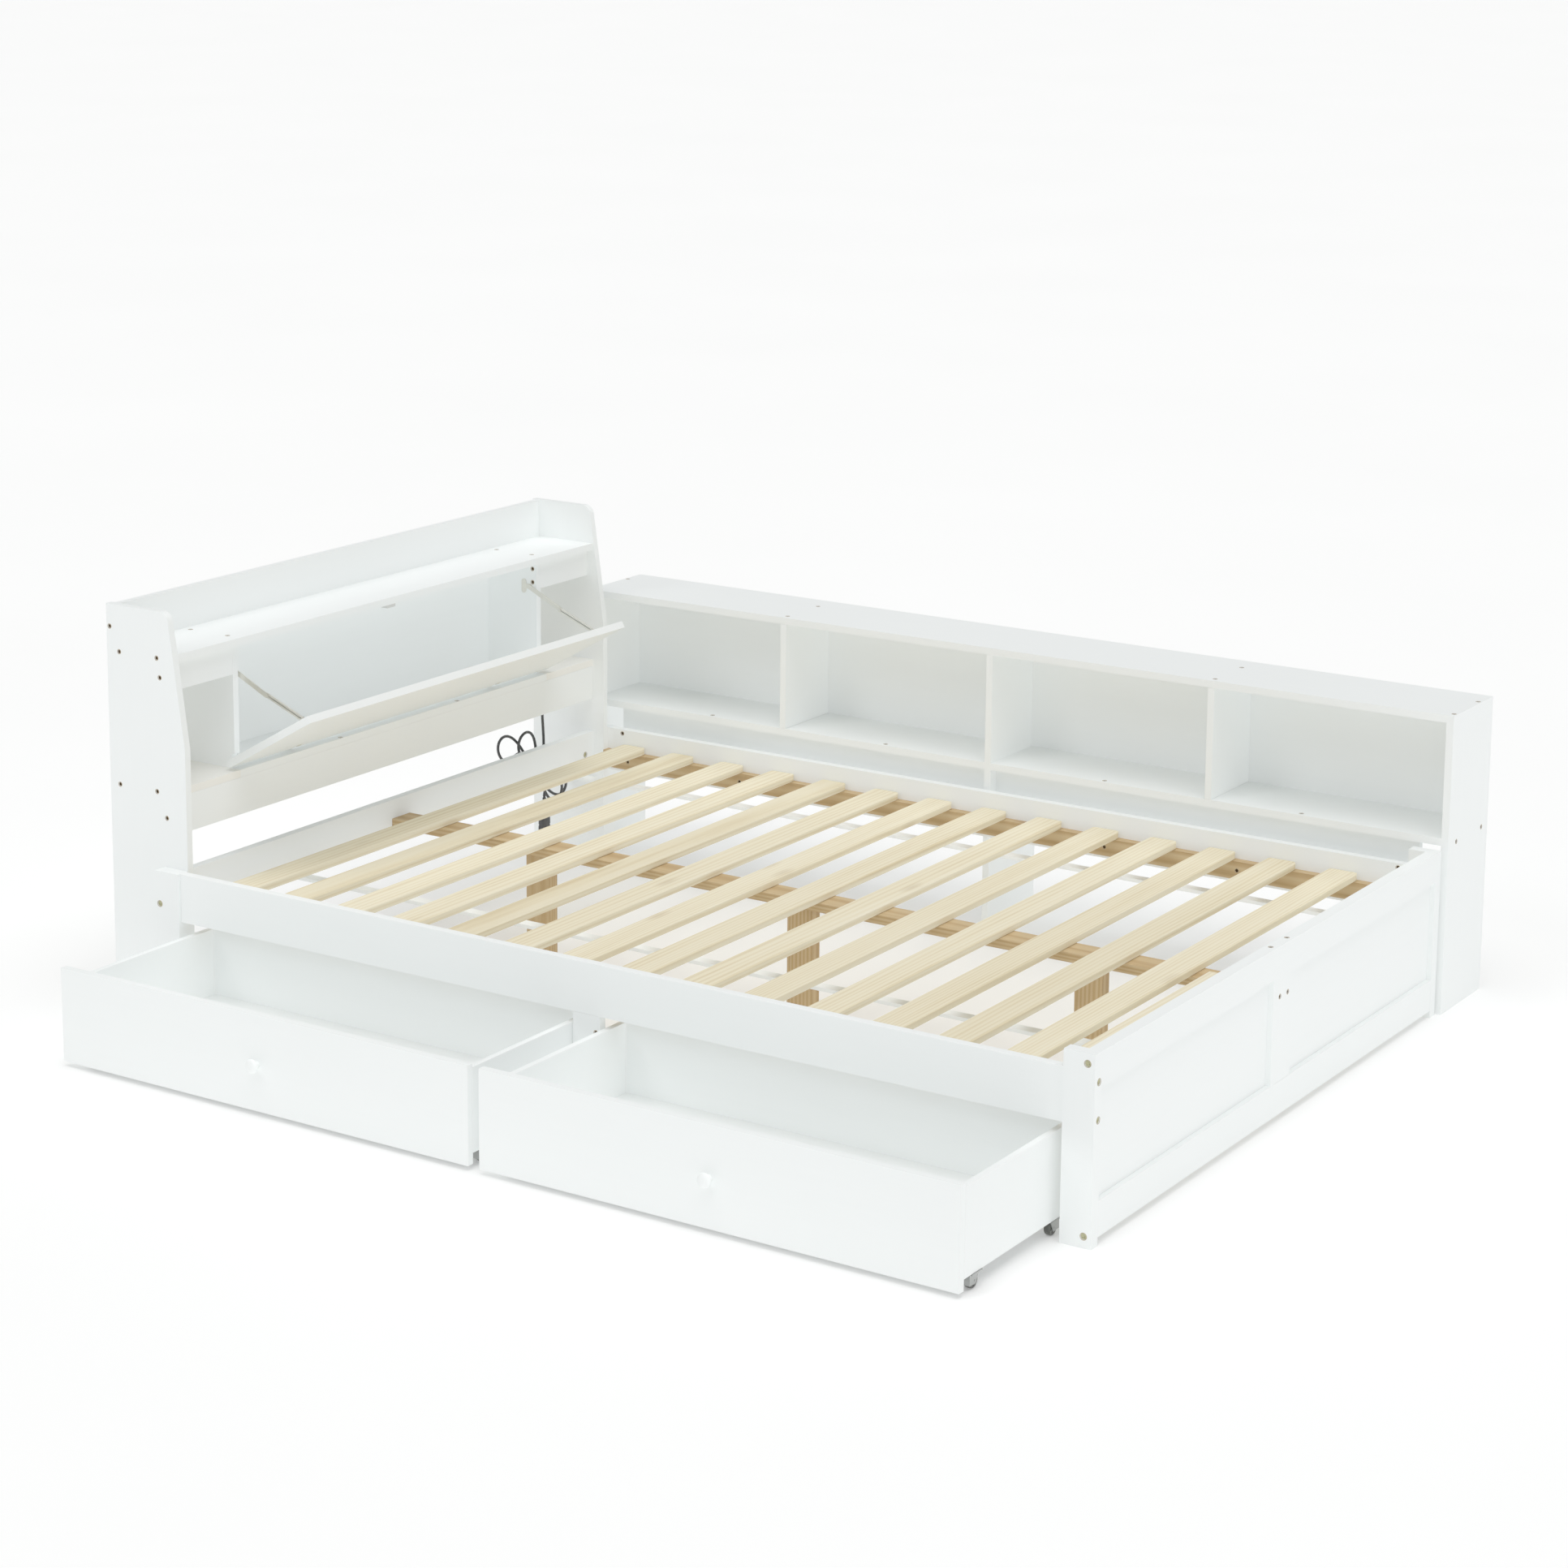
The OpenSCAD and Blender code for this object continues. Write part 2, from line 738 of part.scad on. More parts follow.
// a mushroom knob: a round head on a narrower stem
module drawer_knob(x) {
    stem_r = 7;
    head_l = 11;
    color(white) placed() translate([x + front_w / 2, front_y, 100]) rotate([90, 0, 0]) {
        cylinder(r = stem_r, h = knob_l - head_l + 2);
        translate([0, 0, knob_l - head_l]) rotate_extrude() intersection() {
            square([knob_r, head_l]);
            translate([knob_r - 8, 0]) union() {
                translate([0, head_l - 8]) circle(r = 8);
                translate([-knob_r + 8, 0]) square([knob_r - 8, head_l]);
                translate([0, head_l - 9]) square([4, 2]);
            }
        }
    }
}

function caster_xs(x) = [box_x0(x) + caster_in, box_x1(x) - caster_in];

// plate under the drawer side, two cheeks and the axle
module caster_fork() {
    plate_t = 2;
    cheek_t = 1.6;
    fork_w = wheel_w + 0.8;
    web_y = wheel_r + 1;
    top = box_z - plate_t;
    block([-caster_in, -17, top], [13, 17, box_z]);
    block([-fork_w / 2 - cheek_t, -web_y - cheek_t, 9], [fork_w / 2 + cheek_t, -web_y, top]);
    for (side = [-1, 1])
        translate([side * (fork_w + cheek_t) / 2 - cheek_t / 2, 0, 0])
            rotate([90, 0, 90]) linear_extrude(cheek_t) {
                circle_z(wheel_r, 6);
                polygon([[-web_y, 9], [-3, wheel_r - 5.5], [6, wheel_r], [13, top],
                    [-web_y, top]]);
            }
    translate([-fork_w / 2 - cheek_t - 0.6, 0, wheel_r]) rotate([0, 90, 0])
        cylinder(r = axle_r, h = fork_w + 2 * cheek_t + 1.2);
}

module circle_z(z, r) {
    translate([0, z]) circle(r = r);
}

module drawer_casters(x) {
    color(steel) placed() for (cx = caster_xs(x), row = [0, 1])
        translate([cx, box_y0 + caster_ys[row], 0]) mirror([0, row, 0]) caster_fork();
}

// a pair of wheels on one line across the drawer
module drawer_wheels(x, y) {
    color(black) placed() for (cx = caster_xs(x))
        translate([cx - wheel_w / 2, box_y0 + y, wheel_r]) rotate([0, 90, 0]) difference() {
            cylinder(r = wheel_r, h = wheel_w);
            translate([0, 0, -1]) cylinder(r = axle_r + 0.05, h = wheel_w + 2);
        }
}

// ---- cord ----
module cord_gland() {
    color(black) placed() translate([cord_x, cord_y, low_shelf_z - gland_l])
        cylinder(r1 = cord_d / 2 + 1, r2 = 8, h = gland_l);
}

cord_sides = 8;
cord_steps = 4;                     // rings between one route point and the next

// a point of the smooth curve through the route, after point i by the share t
function route(i) = cord_route[max(0, min(len(cord_route) - 1, i))];
function on_route(i, t) =
    let (a = route(i - 1), b = route(i), c = route(i + 1), d = route(i + 2))
    0.5 * (2 * b + (c - a) * t + (2 * a - 5 * b + 4 * c - d) * t * t
        + (3 * b - a - 3 * c + d) * t * t * t);
cord_rings = [for (i = [0:len(cord_route) - 2], k = [0:cord_steps - 1]) on_route(i, k / cord_steps),
    cord_route[len(cord_route) - 1]];

module cord_tube() {
    n = len(cord_rings);
    points = [for (c = cord_rings, k = [0:cord_sides - 1])
        c + cord_d / 2 * [cos(k * 360 / cord_sides), sin(k * 360 / cord_sides), 0]];
    walls = [for (i = [0:n - 2], k = [0:cord_sides - 1])
        let (m = (k + 1) % cord_sides)
        [i * cord_sides + k, (i + 1) * cord_sides + k, (i + 1) * cord_sides + m,
            i * cord_sides + m]];
    first = [for (k = [0:cord_sides - 1]) k];
    last = [for (k = [cord_sides - 1:-1:0]) (n - 1) * cord_sides + k];
    color(black) placed() polyhedron(points, concat([first, last], walls));
}

// the tied hank: the outer shape of its fanned loops as a flat solid with round ends
module cord_hank() {
    color(black) placed() translate([cord_x - hank_t / 2, hank_y, hank_z])
        rotate([90, 0, 90]) linear_extrude(hank_t) for (lobe = hank_lobes) rotate(lobe[0]) {
            translate([0, -hank_r]) square([lobe[1] - hank_r, 2 * hank_r]);
            circle(r = hank_r);
            translate([lobe[1] - hank_r, 0]) circle(r = hank_r);
        }
}

// moulded plug with its strain relief above and two flat blades below
module cord_plug() {
    body_l = 43;
    relief_l = 43;
    color(black) placed() translate([plug_x, plug_y, plug_z]) {
        block([-10, -13, 0], [10, 13, body_l]);
        translate([0, 0, body_l]) cylinder(r1 = 7, r2 = cord_d / 2 + 1, h = relief_l);
        for (side = [-1, 1])
            block([-3.2, side * 6.35 - 0.8, -18], [3.2, side * 6.35 + 0.8, 0]);
    }
}

// ---- screws and bolts that show ----
module frame_screws() {
    color(dark_steel) placed() {
        both_sides() {
            screw_heads(side_points, [0, -1, 0], screw_d, screw_deep);
            screw_heads(divider_points, [0, 1, 0], screw_d, screw_deep);
            screw_heads(head_post_points, [0, -1, 0], bolt_d, bolt_deep);
            screw_heads(foot_front_points, [0, -1, 0], bolt_d, bolt_deep);
            screw_heads(ledger_points, [0, 1, 0], screw_d, screw_deep);
        }
        screw_heads(top_shelf_points, [0, 0, 1], screw_d, screw_deep);
        screw_heads(low_shelf_points, [0, 0, 1], screw_d, screw_deep);
        screw_heads(head_rail_points, [1, 0, 0], bolt_d, bolt_deep);
        screw_heads(foot_end_points, [1, 0, 0], bolt_d, bolt_deep);
        screw_heads(back_rail_points, [0, -1, 0], screw_d, screw_deep);
        screw_heads(mid_post_points, [0, -1, 0], screw_d, screw_deep);
        screw_heads(foot_top_points, [0, 0, 1], screw_d, screw_deep);
        screw_heads(stile_points, [1, 0, 0], screw_d, screw_deep);
        screw_heads(end_points, [1, 0, 0], screw_d, screw_deep);
        screw_heads(case_top_points, [0, 0, 1], screw_d, screw_deep);
        screw_heads(case_shelf_points, [0, 0, 1], screw_d, screw_deep);
    }
}

headboard_side_left();
headboard_side_right();
headboard_back_panel();
headboard_top_shelf();
headboard_lower_shelf();
compartment_dividers();
compartment_fascias();
headboard_apron();
head_rail();
head_posts();
front_rail();
back_rail();
foot_posts();
rail_mid_post();
footboard_top_rail();
footboard_bottom_rail();
footboard_centre_stile();
footboard_panels();
footboard_cleat();
bookcase_end_left();
bookcase_end_right();
bookcase_middle_panel();
bookcase_top();
bookcase_shelves();
bookcase_dividers();
bookcase_back_panels();
bookcase_aprons();
slats();
slat_ledgers();
centre_beam();
centre_legs();
underbed_strips();
flap();
flap_hinge_bases();
flap_hinge_cups();
flap_catch();
flap_strike();
stay_brackets();
stay_flap_brackets();
stay_upper_arms();
stay_lower_arms();
drawer_front(drawer_xs[0]);  // drawer_left_front
drawer_walls(drawer_xs[0]);  // drawer_left_walls
drawer_bottom(drawer_xs[0]);  // drawer_left_bottom
drawer_knob(drawer_xs[0]);  // drawer_left_knob
drawer_casters(drawer_xs[0]);  // drawer_left_casters
drawer_wheels(drawer_xs[0], caster_ys[0]);  // drawer_left_wheels_front
drawer_wheels(drawer_xs[0], caster_ys[1]);  // drawer_left_wheels_rear
drawer_front(drawer_xs[1]);  // drawer_right_front
drawer_walls(drawer_xs[1]);  // drawer_right_walls
drawer_bottom(drawer_xs[1]);  // drawer_right_bottom
drawer_knob(drawer_xs[1]);  // drawer_right_knob
drawer_casters(drawer_xs[1]);  // drawer_right_casters
drawer_wheels(drawer_xs[1], caster_ys[0]);  // drawer_right_wheels_front
drawer_wheels(drawer_xs[1], caster_ys[1]);  // drawer_right_wheels_rear
cord_gland();
cord_tube();
cord_hank();
cord_plug();
frame_screws();
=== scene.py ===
"""Looks of the platform bed: camera, materials, cord, fittings, floor and light.

Sizes are in metres. Places given to bed() are in millimetres from the bed's own datum: the
back of the headboard (x), the outer face of the near posts (y) and the floor (z).
"""
import math

import bmesh
import bpy
from mathutils import Matrix, Vector


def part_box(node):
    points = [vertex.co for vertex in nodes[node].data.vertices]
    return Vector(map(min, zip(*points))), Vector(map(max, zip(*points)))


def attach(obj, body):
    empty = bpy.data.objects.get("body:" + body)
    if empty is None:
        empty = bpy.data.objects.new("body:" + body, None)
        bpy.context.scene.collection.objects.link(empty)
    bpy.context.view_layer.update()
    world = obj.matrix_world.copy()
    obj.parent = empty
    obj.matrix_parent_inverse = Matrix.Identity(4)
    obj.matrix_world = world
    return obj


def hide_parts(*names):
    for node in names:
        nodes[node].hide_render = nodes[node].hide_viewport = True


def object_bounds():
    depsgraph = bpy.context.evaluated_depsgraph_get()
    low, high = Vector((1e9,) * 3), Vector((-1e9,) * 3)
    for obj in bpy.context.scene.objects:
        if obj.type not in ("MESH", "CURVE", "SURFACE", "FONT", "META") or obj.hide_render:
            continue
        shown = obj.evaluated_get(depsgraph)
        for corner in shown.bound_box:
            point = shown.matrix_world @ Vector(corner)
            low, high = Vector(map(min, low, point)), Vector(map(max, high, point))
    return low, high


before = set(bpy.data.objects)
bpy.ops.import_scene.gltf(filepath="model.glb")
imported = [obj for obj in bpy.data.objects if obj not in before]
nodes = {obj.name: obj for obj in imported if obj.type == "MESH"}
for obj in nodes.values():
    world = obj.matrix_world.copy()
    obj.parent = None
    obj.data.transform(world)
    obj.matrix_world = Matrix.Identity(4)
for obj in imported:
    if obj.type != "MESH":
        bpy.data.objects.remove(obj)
cad_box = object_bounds()
DATUM = Vector((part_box("headboard_side_left")[0].x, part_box("head_posts")[0].y, 0))


def bed(x, y, z):
    """The place in the frame that lies x, y and z millimetres from the datum."""
    return DATUM + Vector((x, y, z)) / 1000


# ---------------------------------------------------------------- camera
CAMERA_PLACE = (4737.8, -4874.5, 2263.6)                    # millimetres from the datum
CAMERA_TURN, CAMERA_DROP, CAMERA_ROLL = 32.78, 10.92, 0.51  # degrees
SENSOR_WIDTH, LENS = 36, 80.8                               # millimetres
SHIFT_X, SHIFT_Y = -0.004, -0.163                           # shares of the picture's side


def make_camera():
    """A camera that looks along +Y, turned towards -X, then downwards, then rolled."""
    data = bpy.data.cameras.new("camera")
    data.sensor_width = SENSOR_WIDTH
    data.lens = LENS
    data.shift_x = SHIFT_X
    data.shift_y = SHIFT_Y
    camera = bpy.data.objects.new("camera", data)
    bpy.context.scene.collection.objects.link(camera)
    turn, drop, roll = (math.radians(a) for a in (CAMERA_TURN, CAMERA_DROP, CAMERA_ROLL))
    forward = Vector((-math.sin(turn) * math.cos(drop), math.cos(turn) * math.cos(drop),
                      -math.sin(drop)))
    aim = forward.to_track_quat("-Z", "Y").to_matrix() @ Matrix.Rotation(roll, 3, "Z")
    camera.matrix_world = Matrix.Translation(bed(*CAMERA_PLACE)) @ aim.to_4x4()
    bpy.context.scene.camera = camera


make_camera()


# ---------------------------------------------------------------- node material helpers
class Graph:
    """A material's node tree, with short calls to add and join its nodes."""

    def __init__(self, name):
        self.material = bpy.data.materials.new(name)
        self.material.use_nodes = True
        self.tree = self.material.node_tree
        self.shader = self.tree.nodes["Principled BSDF"]
        self.place = self.add("ShaderNodeTexCoord").outputs["Object"]

    def add(self, kind, **values):
        """A new node of this kind, with its own settings."""
        node = self.tree.nodes.new(kind)
        for key, value in values.items():
            setattr(node, key, value)
        return node

    def join(self, start, end):
        """Joins an output socket to an input socket."""
        self.tree.links.new(start, end)

    def feed(self, node, **inputs):
        """Sets a node's inputs, from sockets or constants."""
        for key, value in inputs.items():
            socket = node.inputs[key.replace("_", " ")]
            if isinstance(value, bpy.types.NodeSocket):
                self.join(value, socket)
            else:
                socket.default_value = value
        return node

    def stretched(self, axis, along, across, place=None):
        """The place scaled by along on one axis and by across on the other two."""
        scale = [across] * 3
        scale[axis] = along
        node = self.add("ShaderNodeMapping")
        self.join(place or self.place, node.inputs["Vector"])
        node.inputs["Scale"].default_value = scale
        return node.outputs["Vector"]

    def noise(self, scale, detail=3, roughness=0.5, distortion=0.0, place=None):
        node = self.feed(self.add("ShaderNodeTexNoise"), Scale=scale, Detail=detail,
                         Roughness=roughness, Distortion=distortion,
                         Vector=place or self.place)
        return node.outputs["Fac"]

    def ramp(self, value, stops):
        """A colour for each value, from stops of (position, colour)."""
        node = self.add("ShaderNodeValToRGB")
        self.join(value, node.inputs["Fac"])
        band = node.color_ramp
        while len(band.elements) < len(stops):
            band.elements.new(0.5)
        for element, (position, colour) in zip(band.elements, stops):
            element.position = position
            element.color = (*colour, 1)
        return node.outputs["Color"]

    def spread(self, value, low, high):
        """A value from 0 to 1 turned into one from low to high."""
        node = self.feed(self.add("ShaderNodeMapRange"), Value=value, To_Min=low, To_Max=high)
        return node.outputs["Result"]

    def compute(self, what, a, b=0.0):
        node = self.add("ShaderNodeMath", operation=what)
        for socket, value in zip(node.inputs, (a, b)):
            if isinstance(value, bpy.types.NodeSocket):
                self.join(value, socket)
            else:
                socket.default_value = value
        return node.outputs[0]

    def weigh(self, *parts):
        """The sum of parts, each given as (value, weight)."""
        total, *others = (self.compute("MULTIPLY", value, weight) for value, weight in parts)
        for other in others:
            total = self.compute("ADD", total, other)
        return total

    def blend(self, how, share, a, b):
        """Two colours blended by this share of the second."""
        node = self.add("ShaderNodeMix", data_type="RGBA", blend_type=how)
        for key, value in (("Factor", share), ("A", a), ("B", b)):
            sockets = [s for s in node.inputs if s.name == key and s.enabled]
            if isinstance(value, bpy.types.NodeSocket):
                self.join(value, sockets[0])
            elif key == "Factor":
                sockets[0].default_value = value
            else:
                sockets[0].default_value = (*value, 1)
        return [s for s in node.outputs if s.enabled][0]

    def bump(self, height, strength, distance, normal=None):
        node = self.feed(self.add("ShaderNodeBump"), Height=height, Strength=strength,
                         Distance=distance)
        if normal:
            self.join(normal, node.inputs["Normal"])
        return node.outputs["Normal"]

    def finish(self, colour=None, roughness=None, normal=None, **constants):
        """Feeds the shader and gives back the material."""
        for key, value in (("Base Color", colour), ("Roughness", roughness), ("Normal", normal)):
            if value is not None:
                self.join(value, self.shader.inputs[key])
        for key, value in constants.items():
            self.shader.inputs[key.replace("_", " ")].default_value = value
        return self.material


# ---------------------------------------------------------------- materials
def beyond(g, middle, distance, top):
    """1 below top and more than distance from the plane y = middle, and 0 elsewhere."""
    split = g.add("ShaderNodeSeparateXYZ")
    g.join(g.place, split.inputs[0])
    off = g.compute("ABSOLUTE", g.compute("SUBTRACT", split.outputs["Y"], middle))
    return g.compute("MULTIPLY", g.compute("GREATER_THAN", off, distance),
                     g.compute("LESS_THAN", split.outputs["Z"], top))


def paint(name, low, high, gloss, grain_axis=0, shade_past=None):
    """Sprayed satin paint on board: a fine orange peel, faint long streaks of the board
    beneath and a slightly uneven sheen. With the last argument, given as (middle, distance, top),
    the paint gets a painted warm shade, a cream tint, past that distance across the bed from
    the middle, and below top, where the niches lie in shade."""
    g = Graph(name)
    cloud = g.noise(2.1, detail=2)
    streak = g.noise(3.0, detail=4, roughness=0.6, distortion=0.4,
                     place=g.stretched(grain_axis, along=1.6, across=26))
    colour = g.ramp(g.weigh((cloud, 0.6), (streak, 0.4)), ((0.3, low), (0.7, high)))
    # painted warm shade: a cream tint multiplied in where the niches lie in shade
    if shade_past:
        colour = g.blend("MULTIPLY", beyond(g, *shade_past), colour, NICHE_SHADE_TINT)
    speck = g.noise(260, roughness=0.6)
    roughness = g.spread(g.weigh((speck, 0.6), (cloud, 0.4)), gloss - 0.06, gloss + 0.08)
    peel = g.noise(900, detail=2)
    normal = g.bump(peel, strength=0.10, distance=0.0004)
    normal = g.bump(streak, strength=0.08, distance=0.0006, normal=normal)
    return g.finish(colour, roughness, normal, Specular_IOR_Level=0.45, Coat_Weight=0.08,
                    Coat_Roughness=0.25)


def own_cut(g, axis, start, pitch):
    """For boards in a row along axis, one to each pitch from start: the place moved at random
    for each board, so that no two show the same wood, and a random value for each."""
    split = g.add("ShaderNodeSeparateXYZ")
    g.join(g.place, split.inputs[0])
    steps = g.compute("DIVIDE", g.compute("SUBTRACT", split.outputs[axis], start), pitch)
    random = g.add("ShaderNodeTexWhiteNoise", noise_dimensions="1D")
    g.join(g.compute("FLOOR", steps), random.inputs["W"])
    offset = g.add("ShaderNodeVectorMath", operation="SCALE")
    g.join(random.outputs["Color"], offset.inputs[0])
    offset.inputs["Scale"].default_value = 9
    moved = g.add("ShaderNodeVectorMath", operation="ADD")
    g.join(g.place, moved.inputs[0])
    g.join(offset.outputs[0], moved.inputs[1])
    return moved.outputs[0], random.outputs["Value"]


def pine(name, tones, axis, row=None, knots=0.55):
    """Planed pine with its grain along axis: growth bands, fine fibres and a few knots.
    With a row, given as (axis, start, pitch), each board in it has its own cut and tone.
    Knots is how strongly the knots show."""
    g = Graph(name)
    pale, mid, dark = tones
    place, tone = own_cut(g, *row) if row else (g.place, None)
    grain_place = g.stretched(axis, along=1.3, across=30, place=place)
    waver = g.noise(1.4, roughness=0.55, place=grain_place)
    bands = g.feed(g.add("ShaderNodeTexWave", wave_type="RINGS", rings_direction="SPHERICAL"),
                   Scale=1.3, Distortion=5.5, Detail=2.5, Detail_Scale=0.8,
                   Vector=grain_place).outputs["Fac"]
    fibre = g.noise(1.0, detail=4, roughness=0.7,
                    place=g.stretched(axis, along=9, across=420, place=place))
    colour = g.ramp(g.weigh((bands, 0.30), (waver, 0.42), (fibre, 0.22)),
                    ((0.22, pale), (0.52, mid), (0.82, dark)))
    if tone:
        shade = g.ramp(tone, ((0.0, DULLEST_BOARD), (1.0, (1.0, 1.0, 1.0))))
        colour = g.blend("MULTIPLY", 1.0, colour, shade)
    cells = g.feed(g.add("ShaderNodeTexVoronoi", feature="F1"), Scale=0.55,
                   Vector=g.stretched(axis, along=5, across=16, place=place)).outputs["Distance"]
    soft_knot = g.ramp(cells, ((0.03, (1, 1, 1)), (0.13, (0, 0, 0))))
    knot_colour = tuple(c * share for c, share in zip(dark, (0.55, 0.45, 0.35)))
    colour = g.blend("MIX", g.compute("MULTIPLY", soft_knot, knots), colour, knot_colour)
    knot = g.compute("LESS_THAN", cells, 0.07)
    roughness = g.spread(g.compute("ADD", fibre, g.compute("MULTIPLY", knot, -0.2)), 0.48, 0.72)
    normal = g.bump(fibre, strength=0.30, distance=0.0005)
    normal = g.bump(bands, strength=0.12, distance=0.0006, normal=normal)
    return g.finish(colour, roughness, normal, Specular_IOR_Level=0.35)


def metal(name, colour, low, high, streak_axis=0, tint=0.12):
    """Plated metal with rolling streaks and blotches, from low to high roughness. The tint
    is the share by which its dull patches are darker."""
    g = Graph(name)
    streak = g.noise(1.0, roughness=0.6, place=g.stretched(streak_axis, along=30, across=700))
    blotch = g.noise(60, roughness=0.6)
    dull = tuple(c * (1 - tint) for c in colour)
    shade = g.ramp(g.weigh((blotch, 0.6), (streak, 0.4)), ((0.3, dull), (0.7, colour)))
    roughness = g.spread(g.weigh((blotch, 0.5), (streak, 0.5)), low, high)
    normal = g.bump(streak, strength=0.12, distance=0.0002)
    return g.finish(shade, roughness, normal, Metallic=1.0)


def plastic(name, colour, low, high, peel=700, tint=0.75):
    """Moulded plastic with a fine spark-eroded skin and a mottled colour, from low to high
    roughness. The darkest mottling is tint times the colour."""
    g = Graph(name)
    cloud = g.noise(45, roughness=0.6)
    skin = g.noise(peel, detail=2, roughness=0.6)
    dark = tuple(c * tint for c in colour)
    shade = g.ramp(cloud, ((0.3, dark), (0.7, colour)))
    roughness = g.spread(g.weigh((skin, 0.5), (cloud, 0.5)), low, high)
    normal = g.bump(skin, strength=0.25, distance=0.0003)
    return g.finish(shade, roughness, normal, Specular_IOR_Level=0.5)


# painted warm shade of the niches beside the dividers, multiplied into the white paint
NICHE_SHADE_TINT = (1.0, 0.955, 0.90)
DULLEST_BOARD = (0.90, 0.88, 0.84)
WHITES = (0.895, 0.932, 0.925), (0.915, 0.950, 0.943)
WHITE_GLOSS = 0.42
STRAW_PINE = (0.84, 0.765, 0.56), (0.79, 0.69, 0.455), (0.60, 0.455, 0.23)
AMBER_PINE = (0.52, 0.37, 0.18), (0.42, 0.265, 0.105), (0.27, 0.15, 0.045)
SLAT_PITCH = 0.1334                          # from one slat to the next
SLATS_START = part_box("slats")[0].x - 0.035   # half a gap before the first slat
LEG_SPAN = 0.3                               # each centre leg stands in its own span
divider_low, divider_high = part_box("compartment_dividers")
NICHES = ((divider_low.y + divider_high.y) / 2, (divider_high.y - divider_low.y) / 2,
          divider_high.z)

PAINT = {axis: paint("white_paint_" + "xyz"[axis], *WHITES, WHITE_GLOSS, axis)
         for axis in range(3)}
EDGE = paint("white_paint_edge", (0.84, 0.87, 0.86), (0.92, 0.94, 0.935), 0.34)
PINE_SLAT = pine("pine_slats", STRAW_PINE, 1, row=(0, SLATS_START, SLAT_PITCH), knots=0.3)
PINE_CLEAT = pine("pine_cleat", STRAW_PINE, 1)
PINE_X = pine("amber_pine_x", AMBER_PINE, 0)
PINE_Z = pine("amber_pine_z", AMBER_PINE, 2, row=(0, 0.0, LEG_SPAN))
STEEL = metal("nickel_steel", (0.80, 0.775, 0.69), 0.30, 0.48)
ZINC = metal("zinc_steel", (0.36, 0.37, 0.36), 0.30, 0.5, 2)
YELLOW_ZINC = metal("yellow_zinc", (0.52, 0.50, 0.28), 0.28, 0.5, 0, 0.35)
BRONZE = metal("dark_bronze_screw", (0.07, 0.042, 0.02), 0.35, 0.6, 0, 0.5)
RING = paint("bare_board_ring", (0.36, 0.26, 0.14), (0.48, 0.36, 0.21), 0.6)
BLACK = plastic("black_plastic", (0.016, 0.016, 0.017), 0.38, 0.6)
GREY = plastic("grey_wheel_plastic", (0.045, 0.047, 0.038), 0.35, 0.55)
HUB = plastic("grey_wheel_hub", (0.16, 0.165, 0.155), 0.35, 0.55)
PALE = plastic("pale_catch_plastic", (0.62, 0.62, 0.60), 0.4, 0.6, tint=0.9)
CORD = plastic("black_cord_jacket", (0.007, 0.007, 0.0075), 0.36, 0.5, 1200)
BLADE = metal("plug_blades", (0.70, 0.58, 0.34), 0.2, 0.35, 2)
# the white paint with a painted warm shade in the niches
NICHE_SHADE_PAINT = paint("white_paint_niches", *WHITES, WHITE_GLOSS, 1, NICHES)


# ---------------------------------------------------------------- mesh helpers
WELD_WITHIN = 0.00002
BEVEL_ANGLE = math.radians(35)


def long_axis(name):
    """The axis along which a CAD node is longest."""
    low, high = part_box(name)
    size = high - low
    return max(range(3), key=lambda i: size[i])


def dress(name, material, width, edge=None, segments=2):
    """Gives a CAD node its material, and rounds its edges a little as the real ones are."""
    node = nodes[name]
    node.data.materials.clear()
    node.data.materials.append(material)
    if edge:
        node.data.materials.append(edge)
    weld = node.modifiers.new("weld", "WELD")
    weld.merge_threshold = WELD_WITHIN
    bevel = node.modifiers.new("bevel", "BEVEL")
    bevel.width = width
    bevel.segments = segments
    bevel.limit_method = "ANGLE"
    bevel.angle_limit = BEVEL_ANGLE
    bevel.material = 1 if edge else -1
    normals = node.modifiers.new("normals", "WEIGHTED_NORMAL")
    normals.keep_sharp = False


def new_piece(name, mesh_maker, materials, body):
    """An object from a bmesh that mesh_maker fills, riding on a body."""
    mesh = bpy.data.meshes.new(name)
    bm = bmesh.new()
    mesh_maker(bm)
    bmesh.ops.recalc_face_normals(bm, faces=bm.faces)
    bm.to_mesh(mesh)
    bm.free()
    for material in materials:
        mesh.materials.append(material)
    piece = bpy.data.objects.new(name, mesh)
    bpy.context.scene.collection.objects.link(piece)
    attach(piece, body)
    return piece


def hexed(angle):
    """The radius of a hexagon of inner radius 1 at this angle."""
    return 1 / math.cos((angle % (math.pi / 3)) - math.pi / 6)


def lathe(bm, profile, turn, steps=36, slot_index=0, closed=False):
    """Spins a profile about its own Z and moves it with the matrix turn. A profile point is
    (radius, height) or (radius, height, True) where the ring is a hexagon."""
    rings = []
    for point in profile:
        radius, height, is_hex = (*point, False)[:3]
        if radius == 0:
            rings.append([bm.verts.new(turn @ Vector((0, 0, height)))])
            continue
        ring = []
        for k in range(steps):
            a = 2 * math.pi * k / steps
            r = radius * (hexed(a) if is_hex else 1)
            ring.append(bm.verts.new(turn @ Vector((r * math.cos(a), r * math.sin(a), height))))
        rings.append(ring)
    pairs = list(zip(rings, rings[1:]))
    if closed:
        pairs.append((rings[-1], rings[0]))
    for first, second in pairs:
        for k in range(steps):
            m = (k + 1) % steps
            corners = [first[k % len(first)], first[m % len(first)],
                       second[m % len(second)], second[k % len(second)]]
            corners = list(dict.fromkeys(corners))
            if len(corners) > 2:
                face = bm.faces.new(corners)
                face.smooth = True
                face.material_index = slot_index


